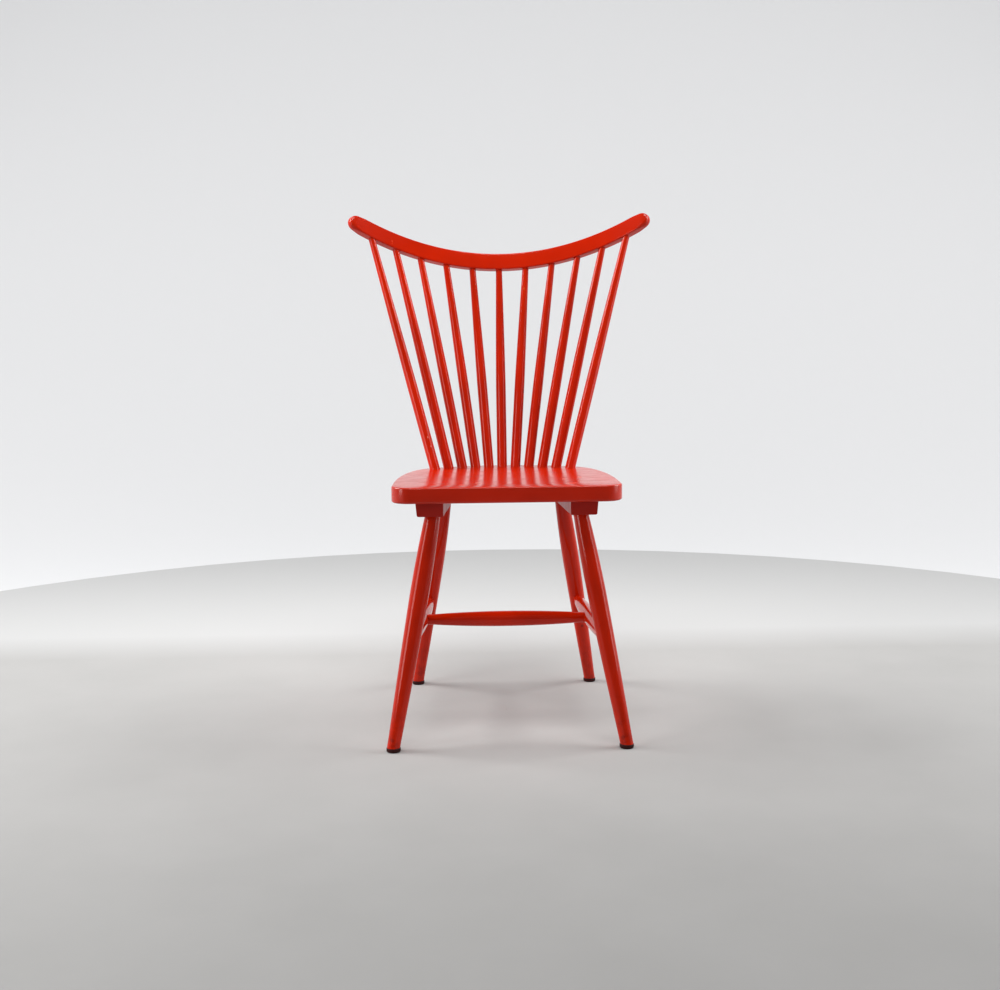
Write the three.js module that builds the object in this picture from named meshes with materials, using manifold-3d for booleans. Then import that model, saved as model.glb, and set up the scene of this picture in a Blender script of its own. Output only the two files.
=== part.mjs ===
// Red painted spindle-back chair: a plank seat on two battens, four splayed turned legs with an
// H of stretchers, and a fan of eleven turned spindles that carries a bowed, upswept crest rail.
// Millimetres, +Z up, floor at z = 0. The front faces -Y; left and right are as seen from the front.

import * as THREE from 'three';
import { mergeVertices } from 'three/addons/utils/BufferGeometryUtils.js';
import Module from 'manifold-3d';

const wasm = await Module();
wasm.setup();

// Seat plank
const seatHeight = 440;
const seatThickness = 27.8;
const seatDepth = 394;
const seatHalfWidth = 192.8;
const seatFrontCorner = 32;
const seatStraightSide = 45;
const seatRearCornerInset = 51;
const seatRearRadius = 227;
const seatEdgeRound = 4;
const seatSocketFloor = 10;

// Battens under the seat
const battenThickness = 25;
const battenWidth = 46.8;
const battenFrontSetback = 30;
const battenRearSetback = 55;
const battenFrontEdgeInset = 62.7;
const battenRearEdgeInset = 81.2;
const battenSideTaper = 2;
const battenCornerRound = 3.5;
const battenSocketRoof = 6;

// Screws that hold each batten to the seat
const screwsPerBatten = 3;
const screwSpacing = 75;
const screwShank = 4;
const screwHead = 8;
const screwHeadHeight = 2.4;
const screwBite = 12;
const screwPoint = 5;
const screwSlotWidth = 1.2;
const screwSlotDepth = 1.1;

// Legs
const frontFootOutset = 3.2;
const rearFootInset = 19.8;
const frontFootReach = 19;
const rearFootReach = 20;
const legFromBattenEnd = 27;
const legInboard = 3;
const legFootDiameter = 22.2;
const legSwellDiameter = 32.2;
const legTopDiameter = 26;
const legFootStraight = 20;
const legSwellFromTop = 127;
const legNeck = 6;

// Stretchers
const stretcherHeight = 178;
const stretcherEndDiameter = 19;
const stretcherSwellDiameter = 27.8;
const stretcherNeck = 20;
const sideStretcherStopShort = 4;
const crossStretcherStopShort = 3;

// Glides nailed under the legs
const glideDiameter = 24;
const glideHeight = 7;
const glideRound = 3;
const nailShank = 2.2;
const nailHead = 7;
const nailHeadHeight = 1.2;
const nailRecess = 2.2;
const nailBite = 14;

// Spindles
const spindlesPerSide = 5;
const spindleBasePitch = 25.7;
const spindleTopPitch = 53.4;
const spindleSetback = 25;
const spindleDiameter = 19.2;
const spindleTopDiameter = 12.5;
const spindleStraight = 150;
const spindleShoulder = 45;
const spindleTopNeck = 24;
const spindlePastRailCentre = 2;

// Crest rail
const railHeight = 31.2;
const railEndHeight = 28.2;
const railThickness = 19;
const railCornerRound = 4;
const railCentreHeight = 835;
const railBackset = 65;
const railPlanRadius = 520;
const railSweepRadius = 562;
const railOverhang = 17;

// Clearance between pieces that touch
const fit = 0.3;

// Facet counts
const legFacets = 22;
const spindleFacets = 14;
const stretcherFacets = 18;
const glideFacets = 20;
const smallFacets = 10;
const curveSteps = 4;

// Levels and edges that several pieces share
const seatFront = -seatDepth / 2;
const seatRear = seatDepth / 2;
const seatUnderside = seatHeight - seatThickness;
const battenTop = seatUnderside - fit;
const battenBottom = battenTop - battenThickness;
const legEnd = glideHeight + fit;

const UP = new THREE.Vector3(0, 0, 1);
const vec = (x, y, z) => new THREE.Vector3(x, y, z);

// A piece is a geometry in its own frame and the place of that frame on the chair.
const piece = (geometry, place = new THREE.Matrix4()) => ({ geometry, place });

// Place whose +Z runs from one point towards another.
function aim(from, towards) {
  const direction = towards.clone().sub(from).normalize();
  const turn = new THREE.Quaternion().setFromUnitVectors(UP, direction);
  return new THREE.Matrix4().compose(from, turn, vec(1, 1, 1));
}

const stand = (x, y, z) => new THREE.Matrix4().makeTranslation(x, y, z);

// Point on a line at a given height.
function atHeight(from, to, z) {
  return from.clone().lerp(to, (z - from.z) / (to.z - from.z));
}

// Joins shared vertices and drops the empty triangles that a revolve leaves on its axis.
function weld(geometry) {
  const bare = new THREE.BufferGeometry();
  bare.setAttribute('position', geometry.getAttribute('position').clone());
  if (geometry.index) bare.setIndex(geometry.index.clone());
  const merged = mergeVertices(bare, 1e-4);
  const corners = merged.index.array;
  const kept = [];
  for (let i = 0; i < corners.length; i += 3) {
    const [a, b, c] = [corners[i], corners[i + 1], corners[i + 2]];
    if (a !== b && b !== c && c !== a) kept.push(a, b, c);
  }
  merged.setIndex(kept);
  return merged;
}

function toSolid(geometry, place) {
  const moved = weld(geometry).applyMatrix4(place);
  return new wasm.Manifold(new wasm.Mesh({
    numProp: 3,
    vertProperties: new Float32Array(moved.getAttribute('position').array),
    triVerts: new Uint32Array(moved.index.array),
  }));
}

function toGeometry(solid) {
  const mesh = solid.getMesh();
  const geometry = new THREE.BufferGeometry();
  geometry.setAttribute('position', new THREE.BufferAttribute(new Float32Array(mesh.vertProperties), 3));
  geometry.setIndex(new THREE.BufferAttribute(new Uint32Array(mesh.triVerts), 1));
  geometry.computeVertexNormals();
  return geometry;
}

// Cuts tools out of a piece; all of them stand where their places say.
function cut(target, tools) {
  const toTarget = target.place.clone().invert();
  let solid = toSolid(target.geometry, new THREE.Matrix4());
  for (const tool of tools) {
    solid = solid.subtract(toSolid(tool.geometry, toTarget.clone().multiply(tool.place)));
  }
  return piece(toGeometry(solid), target.place);
}

// Solid of revolution about +Z from an outline drawn as radius across and height up.
function turned(outline, facets) {
  const points = outline.getPoints(curveSteps);
  return weld(new THREE.LatheGeometry(points, facets).rotateX(Math.PI / 2));
}

// Rod about +Z between two heights.
function rod(radius, bottom, top, facets) {
  const outline = new THREE.Path();
  outline.moveTo(0, bottom);
  outline.lineTo(radius, bottom);
  outline.lineTo(radius, top);
  outline.lineTo(0, top);
  return turned(outline, facets);
}

// Seat outline: straight front, rounded front corners, sides that draw in, and a bowed rear edge.
const rearArcCentreY = seatRear - seatRearRadius;
const rearCornerX = seatHalfWidth - seatRearCornerInset;
const rearCornerAngle = Math.acos(rearCornerX / seatRearRadius);

function seatOutline() {
  const cornerY = rearArcCentreY + seatRearRadius * Math.sin(rearCornerAngle);
  const sideY = seatFront + seatFrontCorner + seatStraightSide;
  const pull = seatRearCornerInset * 0.68;
  const handleX = rearCornerX + pull * Math.sin(rearCornerAngle);
  const handleY = cornerY - pull * Math.cos(rearCornerAngle);
  const bulgeY = sideY + (cornerY - sideY) * 0.6;
  const shape = new THREE.Shape();
  shape.moveTo(-seatHalfWidth + seatFrontCorner, seatFront);
  shape.lineTo(seatHalfWidth - seatFrontCorner, seatFront);
  shape.absarc(seatHalfWidth - seatFrontCorner, seatFront + seatFrontCorner, seatFrontCorner, -Math.PI / 2, 0);
  shape.lineTo(seatHalfWidth, sideY);
  shape.bezierCurveTo(seatHalfWidth, bulgeY, handleX, handleY, rearCornerX, cornerY);
  shape.absarc(0, rearArcCentreY, seatRearRadius, rearCornerAngle, Math.PI - rearCornerAngle);
  shape.bezierCurveTo(-handleX, handleY, -seatHalfWidth, bulgeY, -seatHalfWidth, sideY);
  shape.lineTo(-seatHalfWidth, seatFront + seatFrontCorner);
  shape.absarc(-seatHalfWidth + seatFrontCorner, seatFront + seatFrontCorner, seatFrontCorner, Math.PI, Math.PI * 1.5);
  return shape;
}

function seatPlank() {
  const geometry = new THREE.ExtrudeGeometry(seatOutline(), {
    depth: seatThickness - 2 * seatEdgeRound,
    curveSegments: 9,
    bevelThickness: seatEdgeRound,
    bevelSize: seatEdgeRound,
    bevelOffset: -seatEdgeRound,
    bevelSegments: 3,
  });
  return piece(weld(geometry), stand(0, 0, seatUnderside + seatEdgeRound));
}

// Battens: their centre lines draw together towards the rear.
function battenLine(side) {
  const front = vec(side * (seatHalfWidth - battenFrontEdgeInset), seatFront + battenFrontSetback, battenBottom);
  const rear = vec(side * (seatHalfWidth - battenRearEdgeInset), seatRear - battenRearSetback, battenBottom);
  return { front, rear, length: front.distanceTo(rear) };
}

// Place on a batten's centre line, its +Y running rearwards along the batten.
function onBatten(side, along) {
  const { front, rear, length } = battenLine(side);
  const point = front.clone().lerp(rear, along / length);
  const turn = Math.atan2(front.x - rear.x, rear.y - front.y);
  return stand(point.x, point.y, point.z).multiply(new THREE.Matrix4().makeRotationZ(turn));
}

// The batten's section is plain on its inner side and drawn in below on its outer side.
function battenSection(side) {
  const half = battenWidth / 2;
  const foot = half - battenSideTaper;
  const shape = new THREE.Shape();
  shape.moveTo(-side * half, battenThickness);
  shape.lineTo(-side * half, battenCornerRound / 2);
  shape.lineTo(-side * (half - battenCornerRound / 2), 0);
  shape.lineTo(side * (foot - battenCornerRound), 0);
  shape.quadraticCurveTo(side * foot, 0, side * foot, battenCornerRound);
  shape.lineTo(side * half, battenThickness);
  return shape;
}

function batten(side) {
  const { length } = battenLine(side);
  const geometry = new THREE.ExtrudeGeometry(battenSection(side), {
    depth: length,
    curveSegments: 4,
    bevelEnabled: false,
  });
  geometry.rotateX(Math.PI / 2);
  geometry.translate(0, length, 0);
  return piece(weld(geometry), onBatten(side, 0));
}

// Screws stand point up; their slotted heads lie flush in the batten's underside.
const screwLength = battenThickness + screwBite;

function screwOutline(grow) {
  const shank = screwShank / 2 + grow;
  const head = screwHead / 2 + grow;
  const outline = new THREE.Path();
  outline.moveTo(0, -grow);
  outline.lineTo(head, -grow);
  outline.lineTo(shank, screwHeadHeight);
  outline.lineTo(shank, screwLength - screwPoint + grow);
  outline.lineTo(0, screwLength + grow);
  return outline;
}

function battenScrew(place) {
  const screw = piece(turned(screwOutline(0), smallFacets), place);
  const slot = new THREE.BoxGeometry(screwHead * 2, screwSlotWidth, screwSlotDepth * 2);
  return cut(screw, [piece(slot, place)]);
}

const screwHole = (place) => piece(turned(screwOutline(fit), smallFacets), place);

function screwPlaces(side) {
  const { length } = battenLine(side);
  const places = [];
  for (let i = 0; i < screwsPerBatten; i += 1) {
    const along = length / 2 + (i - (screwsPerBatten - 1) / 2) * screwSpacing;
    places.push(onBatten(side, along).multiply(stand(0, 0, fit)));
  }
  return places;
}

// Legs: each axis runs from its foot on the floor up through the batten's underside.
const legSocketDepth = battenThickness - battenSocketRoof;

function legAxis(side, isFront) {
  const { length } = battenLine(side);
  const along = isFront ? legFromBattenEnd : length - legFromBattenEnd;
  const top = new THREE.Vector3().setFromMatrixPosition(onBatten(side, along));
  top.x -= side * legInboard;
  const foot = isFront
    ? vec(side * (seatHalfWidth + frontFootOutset), seatFront - frontFootReach, 0)
    : vec(side * (seatHalfWidth - rearFootInset), seatRear + rearFootReach, 0);
  return { foot, top, end: atHeight(foot, top, battenBottom + legSocketDepth) };
}

// The outline swells in two sweeps to its fullest part, and ends in a plain neck for the socket.
function legOutline(neckStart, end) {
  const foot = legFootDiameter / 2;
  const swell = legSwellDiameter / 2;
  const neck = legTopDiameter / 2;
  const fullest = neckStart - legSwellFromTop;
  const outline = new THREE.Path();
  outline.moveTo(0, 0);
  outline.lineTo(foot, 0);
  outline.lineTo(foot, legFootStraight);
  outline.quadraticCurveTo(foot + (swell - foot) * 0.79, (legFootStraight + fullest) * 0.57, swell, fullest);
  outline.quadraticCurveTo(swell, fullest + legSwellFromTop * 0.53, neck, neckStart);
  outline.lineTo(neck, end);
  outline.lineTo(0, end);
  return outline;
}

function leg(side, isFront) {
  const { foot, top, end } = legAxis(side, isFront);
  const outline = legOutline(foot.distanceTo(top) - legNeck, foot.distanceTo(end));
  const blank = piece(turned(outline, legFacets), aim(foot, end));
  const belowFoot = new THREE.BoxGeometry(legFootDiameter * 3, legFootDiameter * 3, legEnd * 2);
  return cut(blank, [piece(belowFoot, stand(foot.x, foot.y, 0)), nailHole(side, isFront)]);
}

function legSocket(side, isFront) {
  const { foot, end } = legAxis(side, isFront);
  const reach = foot.distanceTo(end);
  const radius = legTopDiameter / 2 + fit;
  return piece(rod(radius, reach - 3 * legSocketDepth, reach + fit, legFacets), aim(foot, end));
}

// Glides: the level foot of each leg stands on one, held by a nail driven straight up.
function glidePoint(side, isFront) {
  const { foot, top } = legAxis(side, isFront);
  return atHeight(foot, top, legEnd);
}

function glide(side, isFront) {
  const outer = glideDiameter / 2;
  const bore = nailShank / 2 + fit;
  const recess = nailHead / 2 + fit;
  const outline = new THREE.Path();
  outline.moveTo(bore, nailRecess);
  outline.lineTo(recess, nailRecess);
  outline.lineTo(recess, 0);
  outline.lineTo(outer - glideRound, 0);
  outline.quadraticCurveTo(outer, 0, outer, glideRound);
  outline.lineTo(outer, glideHeight);
  outline.lineTo(bore, glideHeight);
  outline.lineTo(bore, nailRecess);
  const { x, y } = glidePoint(side, isFront);
  return piece(turned(outline, glideFacets), stand(x, y, 0));
}

function glideNail(side, isFront) {
  const shank = nailShank / 2;
  const seat = nailRecess - fit;
  const outline = new THREE.Path();
  outline.moveTo(0, seat - nailHeadHeight);
  outline.lineTo(nailHead / 2, seat - nailHeadHeight);
  outline.lineTo(nailHead / 2, seat);
  outline.lineTo(shank, seat);
  outline.lineTo(shank, legEnd + nailBite - nailShank);
  outline.lineTo(0, legEnd + nailBite);
  const { x, y } = glidePoint(side, isFront);
  return piece(turned(outline, smallFacets), stand(x, y, 0));
}

function nailHole(side, isFront) {
  const { x, y } = glidePoint(side, isFront);
  return piece(rod(nailShank / 2 + fit, 0, legEnd + nailBite + fit, smallFacets), stand(x, y, 0));
}

// Stretchers: turned rods, plain where they enter their sockets and fullest at mid length.
function stretcherOutline(length) {
  const end = stretcherEndDiameter / 2;
  const swell = stretcherSwellDiameter / 2;
  const outline = new THREE.Path();
  outline.moveTo(0, 0);
  outline.lineTo(end, 0);
  outline.lineTo(end, stretcherNeck);
  outline.quadraticCurveTo(swell, length * 0.27, swell, length / 2);
  outline.quadraticCurveTo(swell, length * 0.73, end, length - stretcherNeck);
  outline.lineTo(end, length);
  outline.lineTo(0, length);
  return outline;
}

function stretcher({ from, to }) {
  return piece(turned(stretcherOutline(from.distanceTo(to)), stretcherFacets), aim(from, to));
}

// Socket for the end of a stretcher at one end of its line.
function stretcherSocket(end, other) {
  return piece(rod(stretcherEndDiameter / 2 + fit, -fit, stretcherNeck, stretcherFacets), aim(end, other));
}

// Line between two points, each end held back by the same length.
function heldBack(a, b, short) {
  const step = b.clone().sub(a).setLength(short);
  return { from: a.clone().add(step), to: b.clone().sub(step) };
}

function onLeg(side, isFront) {
  const { foot, top } = legAxis(side, isFront);
  return atHeight(foot, top, stretcherHeight);
}

const sideStretcherLine = (side) => heldBack(onLeg(side, true), onLeg(side, false), sideStretcherStopShort);

function crossStretcherLine() {
  const middle = (side) => onLeg(side, true).lerp(onLeg(side, false), 0.5);
  return heldBack(middle(-1), middle(1), crossStretcherStopShort);
}

// Crest rail: its centre line is bowed rearwards in plan and swept up towards both ends, and the rail
// gets a little slimmer on the way. The overhang is added to five pitches, which are measured along the rail.
const railCentreY = seatRear + railBackset;
const railHalfSpan = spindlesPerSide * spindleTopPitch + railOverhang;

function railPoint(x) {
  const bow = railPlanRadius - Math.sqrt(railPlanRadius ** 2 - x ** 2);
  const sweep = railSweepRadius - Math.sqrt(railSweepRadius ** 2 - x ** 2);
  return vec(x, railCentreY - bow, railCentreHeight + sweep);
}

class RailLine extends THREE.Curve {
  getPoint(t, target = new THREE.Vector3()) {
    return target.copy(railPoint(railHalfSpan * (2 * t - 1)));
  }
}

const railLine = new RailLine();
const railLength = railLine.getLength();

// Spindles: feet on an arc that follows the seat's rear edge, tops evenly spaced along the rail's centre line.
function spindleLine(index) {
  const arcRadius = seatRearRadius - spindleSetback;
  const x = index * spindleBasePitch;
  const foot = vec(x, rearArcCentreY + Math.sqrt(arcRadius ** 2 - x ** 2), seatHeight);
  const head = railLine.getPointAt(0.5 + index * spindleTopPitch / railLength);
  const start = atHeight(foot, head, seatUnderside + seatSocketFloor);
  const reach = head.clone().sub(foot).setLength(spindlePastRailCentre);
  return { foot, start, end: head.clone().add(reach) };
}

// The back leans along the middle spindle, and the rail's faces lean with it.
const backLean = spindleLine(0).end.clone().sub(spindleLine(0).foot).normalize();

function roundedSection(width, height, radius) {
  const [w, h] = [width / 2, height / 2];
  const shape = new THREE.Shape();
  shape.moveTo(-w + radius, -h);
  shape.lineTo(w - radius, -h);
  shape.quadraticCurveTo(w, -h, w, -h + radius);
  shape.lineTo(w, h - radius);
  shape.quadraticCurveTo(w, h, w - radius, h);
  shape.lineTo(-w + radius, h);
  shape.quadraticCurveTo(-w, h, -w, h - radius);
  shape.lineTo(-w, -h + radius);
  shape.quadraticCurveTo(-w, -h, -w + radius, -h);
  return shape;
}

// Stations along the rail: even steps, and quarter-round steps at each end, where the rail keeps more of its
// thickness than of its height.
const railEndSteps = 5;
const railSpanSteps = 32;
const railSteps = railSpanSteps + 2 * railEndSteps;

function railStation(index) {
  const endRound = railEndHeight / 2;
  const fromEnd = Math.min(index, railSteps - index);
  let along = endRound + (railLength - 2 * endRound) * ((index - railEndSteps) / railSpanSteps);
  let taller = 1;
  if (fromEnd < railEndSteps) {
    const angle = Math.PI / 2 * ((fromEnd + 0.5) / (railEndSteps + 0.5));
    taller = Math.sin(angle);
    const inset = endRound * (1 - Math.cos(angle));
    along = index === fromEnd ? inset : railLength - inset;
  }
  return { u: along / railLength, taller, thicker: Math.sqrt(taller) };
}

// Share of the full rail height that is left at a distance x from the middle.
const railSlimming = (x) => 1 - (1 - railEndHeight / railHeight) * (x / railHalfSpan) ** 2;

// A straight extrusion of the rail's section, bent onto its line and rounded over at both ends.
function crestRail() {
  const section = roundedSection(railThickness, railHeight, railCornerRound);
  const geometry = new THREE.ExtrudeGeometry(section, {
    depth: railSteps,
    steps: railSteps,
    curveSegments: 3,
    bevelEnabled: false,
  });
  const position = geometry.getAttribute('position');
  for (let i = 0; i < position.count; i += 1) {
    const { u, taller, thicker } = railStation(Math.round(position.getZ(i)));
    const along = railLine.getTangentAt(u);
    const centre = railLine.getPointAt(u);
    const rearwards = backLean.clone().cross(along).normalize();
    const upwards = along.clone().cross(rearwards);
    const height = position.getY(i) * taller * railSlimming(centre.x);
    centre.addScaledVector(rearwards, position.getX(i) * thicker).addScaledVector(upwards, height);
    position.setXYZ(i, centre.x, centre.y, centre.z);
  }
  return piece(weld(geometry));
}

function spindleOutline(length) {
  const full = spindleDiameter / 2;
  const top = spindleTopDiameter / 2;
  const shaped = seatSocketDepth + spindleStraight;
  const outline = new THREE.Path();
  outline.moveTo(0, 0);
  outline.lineTo(full, 0);
  outline.lineTo(full, shaped);
  outline.quadraticCurveTo(full, shaped + spindleShoulder, top, length - spindleTopNeck);
  outline.lineTo(top, length);
  outline.lineTo(0, length);
  return outline;
}

const seatSocketDepth = seatThickness - seatSocketFloor;

function spindle(index) {
  const { start, end } = spindleLine(index);
  return piece(turned(spindleOutline(start.distanceTo(end)), spindleFacets), aim(start, end));
}

function seatSocket(index) {
  const { start, end } = spindleLine(index);
  const radius = spindleDiameter / 2 + fit;
  return piece(rod(radius, -fit, seatSocketDepth * 2, spindleFacets), aim(start, end));
}

function railSocket(index) {
  const { start, end } = spindleLine(index);
  const reach = start.distanceTo(end);
  const radius = spindleTopDiameter / 2 + fit;
  return piece(rod(radius, reach - railHeight, reach + fit, spindleFacets), aim(start, end));
}

// Finishes, as seen on the chair
const redPaint = { color: 0xcd210a, roughness: 0.3, metalness: 0 };
const darkPlastic = { color: 0x2b1c16, roughness: 0.6, metalness: 0 };
const steel = { color: 0x8d8a84, roughness: 0.4, metalness: 1 };

const chair = new THREE.Group();

function add(name, { geometry, place }, finish) {
  const mesh = new THREE.Mesh(geometry, new THREE.MeshStandardMaterial(finish));
  mesh.name = name;
  place.decompose(mesh.position, mesh.quaternion, mesh.scale);
  chair.add(mesh);
}

const sides = [
  { side: -1, label: 'left' },
  { side: 1, label: 'right' },
];
const ends = [
  { isFront: true, label: 'front' },
  { isFront: false, label: 'rear' },
];
const spindleIndexes = Array.from({ length: 2 * spindlesPerSide + 1 }, (_, i) => i - spindlesPerSide);

const seatScrewHoles = sides.flatMap(({ side }) => screwPlaces(side).map(screwHole));
add('seat', cut(seatPlank(), [...spindleIndexes.map(seatSocket), ...seatScrewHoles]), redPaint);
add('crest_rail', cut(crestRail(), spindleIndexes.map(railSocket)), redPaint);
spindleIndexes.forEach((index, i) => {
  add(`spindle_${String(i + 1).padStart(2, '0')}`, spindle(index), redPaint);
});

const crossLine = crossStretcherLine();
for (const { side, label } of sides) {
  const legSockets = ends.map(({ isFront }) => legSocket(side, isFront));
  add(`batten_${label}`, cut(batten(side), [...legSockets, ...screwPlaces(side).map(screwHole)]), redPaint);
  screwPlaces(side).forEach((place, i) => add(`batten_screw_${label}_${i + 1}`, battenScrew(place), steel));

  const line = sideStretcherLine(side);
  const sideSocket = side < 0 ? stretcherSocket(crossLine.from, crossLine.to) : stretcherSocket(crossLine.to, crossLine.from);
  add(`side_stretcher_${label}`, cut(stretcher(line), [sideSocket]), redPaint);

  for (const { isFront, label: end } of ends) {
    const socket = isFront ? stretcherSocket(line.from, line.to) : stretcherSocket(line.to, line.from);
    add(`leg_${end}_${label}`, cut(leg(side, isFront), [socket]), redPaint);
    add(`glide_${end}_${label}`, glide(side, isFront), darkPlastic);
    add(`glide_nail_${end}_${label}`, glideNail(side, isFront), steel);
  }
}
add('cross_stretcher', stretcher(crossLine), redPaint);

// The origin is on the floor, under the middle of the chair's box.
const middle = new THREE.Box3().setFromObject(chair, true).getCenter(new THREE.Vector3());
chair.position.set(-middle.x, -middle.y, 0);

export default chair;
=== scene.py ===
"""Red painted spindle-back chair: fine surfaces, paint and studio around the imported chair. Metres, +Z up."""
import math
from bisect import bisect
from itertools import accumulate

import bmesh
import bpy
from mathutils import Matrix, Vector


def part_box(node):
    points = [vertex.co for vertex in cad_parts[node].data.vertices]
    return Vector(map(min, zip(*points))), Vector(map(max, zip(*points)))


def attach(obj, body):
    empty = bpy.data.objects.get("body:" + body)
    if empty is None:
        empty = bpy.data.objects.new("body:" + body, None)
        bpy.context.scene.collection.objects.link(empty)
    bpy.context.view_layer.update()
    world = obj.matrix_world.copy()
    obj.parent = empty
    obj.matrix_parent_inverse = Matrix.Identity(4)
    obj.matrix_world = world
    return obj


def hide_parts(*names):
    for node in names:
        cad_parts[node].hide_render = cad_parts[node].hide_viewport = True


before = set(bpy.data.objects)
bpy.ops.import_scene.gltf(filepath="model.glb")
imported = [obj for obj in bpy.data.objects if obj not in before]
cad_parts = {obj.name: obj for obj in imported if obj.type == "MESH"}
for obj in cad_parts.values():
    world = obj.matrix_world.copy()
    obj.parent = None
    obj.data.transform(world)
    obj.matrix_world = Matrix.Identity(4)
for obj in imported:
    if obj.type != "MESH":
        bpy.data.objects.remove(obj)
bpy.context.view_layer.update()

MM = 0.001
UP = Vector((0, 0, 1))
SIDES = {"left": -1, "right": 1}
ENDS = ("front", "rear")

# Seat plank, as packed
SEAT_LOW, SEAT_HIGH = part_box("seat")
SEAT_FRONT, SEAT_REAR = SEAT_LOW.y, SEAT_HIGH.y
SEAT_MIDDLE = (SEAT_FRONT + SEAT_REAR) / 2
SEAT_TOP, SEAT_UNDERSIDE = SEAT_HIGH.z, SEAT_LOW.z
SEAT_HALF_WIDTH = SEAT_HIGH.x
SEAT_FRONT_CORNER = 32 * MM
SEAT_STRAIGHT_SIDE = 45 * MM
SEAT_REAR_CORNER_INSET = 51 * MM
SEAT_REAR_RADIUS = 227 * MM
SEAT_SIDE_BULGE_SHARE = 0.6
SEAT_CORNER_PULL_SHARE = 0.68
SEAT_TOP_ROUND = 2.8 * MM
SEAT_FRONT_EASE = 1.3 * MM
SEAT_EASE_REACH = 36 * MM
SEAT_LOWER_ROUND = 4 * MM
SEAT_SOCKET_FLOOR = 10 * MM

# Battens, as packed
BATTEN_WIDTH = 46.8 * MM
BATTEN_FRONT_SETBACK = 30 * MM
BATTEN_REAR_SETBACK = 55 * MM
BATTEN_FRONT_EDGE_INSET = 62.7 * MM
BATTEN_REAR_EDGE_INSET = 81.2 * MM
BATTEN_SIDE_TAPER = 2 * MM
BATTEN_CORNER_ROUND = 3.5 * MM
BATTEN_ARRIS = 1.1 * MM
BATTEN_ARRIS_ANGLE = math.radians(50)
BATTEN_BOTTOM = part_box("batten_left")[0].z
BATTEN_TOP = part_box("batten_left")[1].z
BATTEN_SOCKET_DEPTH = 19 * MM

# Legs and glides
FRONT_FOOT_OUTSET = 3.2 * MM
REAR_FOOT_INSET = 19.8 * MM
FRONT_FOOT_REACH = 19 * MM
REAR_FOOT_REACH = 20 * MM
FOOT_HALF_SPREAD = {"front": SEAT_HALF_WIDTH + FRONT_FOOT_OUTSET, "rear": SEAT_HALF_WIDTH - REAR_FOOT_INSET}
FOOT_Y = {"front": SEAT_FRONT - FRONT_FOOT_REACH, "rear": SEAT_REAR + REAR_FOOT_REACH}
LEG_FROM_BATTEN_END = 27 * MM
LEG_INBOARD = 3 * MM
LEG_FOOT_RADIUS = 11.1 * MM
LEG_SWELL_RADIUS = 16.1 * MM
LEG_TOP_RADIUS = 13 * MM
LEG_FOOT_STRAIGHT = 20 * MM
LEG_SWELL_FROM_TOP = 127 * MM
LEG_NECK = 6 * MM
LEG_LOWER_FULLNESS = 0.79
LEG_LOWER_REACH = 0.57
LEG_UPPER_REACH = 0.53
LEG_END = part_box("leg_front_left")[0].z
GLIDE_RADIUS = 12 * MM
GLIDE_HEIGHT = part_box("glide_front_left")[1].z
GLIDE_ROUND = 3 * MM
GLIDE_CHAMFER = 0.8 * MM
NAIL_BORE = 1.4 * MM
NAIL_RECESS_RADIUS = 3.8 * MM
NAIL_RECESS_DEPTH = 2.2 * MM

# Stretchers
STRETCHER_HEIGHT = 178 * MM
STRETCHER_END_RADIUS = 9.5 * MM
STRETCHER_SWELL_RADIUS = 13.9 * MM
STRETCHER_NECK = 20 * MM
STRETCHER_BELLY_SHARE = 0.27
SIDE_STRETCHER_STOP_SHORT = 4 * MM
CROSS_STRETCHER_STOP_SHORT = 3 * MM

# Spindles
SPINDLES_PER_SIDE = 5
SPINDLE_BASE_PITCH = 25.7 * MM
SPINDLE_TOP_PITCH = 53.4 * MM
SPINDLE_SETBACK = 25 * MM
SPINDLE_RADIUS = 9.6 * MM
SPINDLE_TOP_RADIUS = 6.25 * MM
SPINDLE_STRAIGHT = 150 * MM
SPINDLE_SHOULDER = 45 * MM
SPINDLE_TOP_NECK = 24 * MM
SPINDLE_PAST_RAIL_CENTRE = 2 * MM
SEAT_SOCKET_DEPTH = SEAT_TOP - SEAT_UNDERSIDE - SEAT_SOCKET_FLOOR

# Crest rail
RAIL_HEIGHT = 31.2 * MM
RAIL_END_HEIGHT = 28.2 * MM
RAIL_THICKNESS = 19 * MM
RAIL_CORNER_ROUND = 3 * MM
RAIL_TIP_CORNER_ROUND = 9.4 * MM
RAIL_TIP_FULLY_ROUND = 8 * MM
RAIL_TIP_BLEND = 24 * MM
RAIL_CENTRE_HEIGHT = 835 * MM
RAIL_BACKSET = 65 * MM
RAIL_CENTRE_Y = SEAT_REAR + RAIL_BACKSET
RAIL_PLAN_RADIUS = 520 * MM
RAIL_SWEEP_RADIUS = 562 * MM
RAIL_OVERHANG = 17 * MM
RAIL_HALF_SPAN = SPINDLES_PER_SIDE * SPINDLE_TOP_PITCH + RAIL_OVERHANG

# Mesh density
ROUND_STEPS = 64
CURVE_STEPS = 28
CORNER_STEPS = 8
SEAT_FRONT_STEPS = 30
SEAT_CORNER_STEPS = 24
SEAT_STRAIGHT_STEPS = 8
SEAT_SIDE_STEPS = 48
SEAT_REAR_STEPS = 40
SEAT_EDGE_STEPS = 8
SEAT_FIELD_RINGS = 28
BATTEN_STATIONS = 12
BATTEN_NIB_STEPS = 4
BATTEN_ARRIS_SEGMENTS = 3
SPINDLE_CURVE_STEPS = 40
RAIL_SAMPLES = 2000
RAIL_TIP_STEPS = 14
RAIL_TIP_FIRST_STEP = 0.35
RAIL_SPAN_STEPS = 170
COVE_STEPS = 24
SHARP_ANGLE = math.radians(38)
MERGE_DISTANCE = 0.01 * MM


# Meshes

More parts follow.
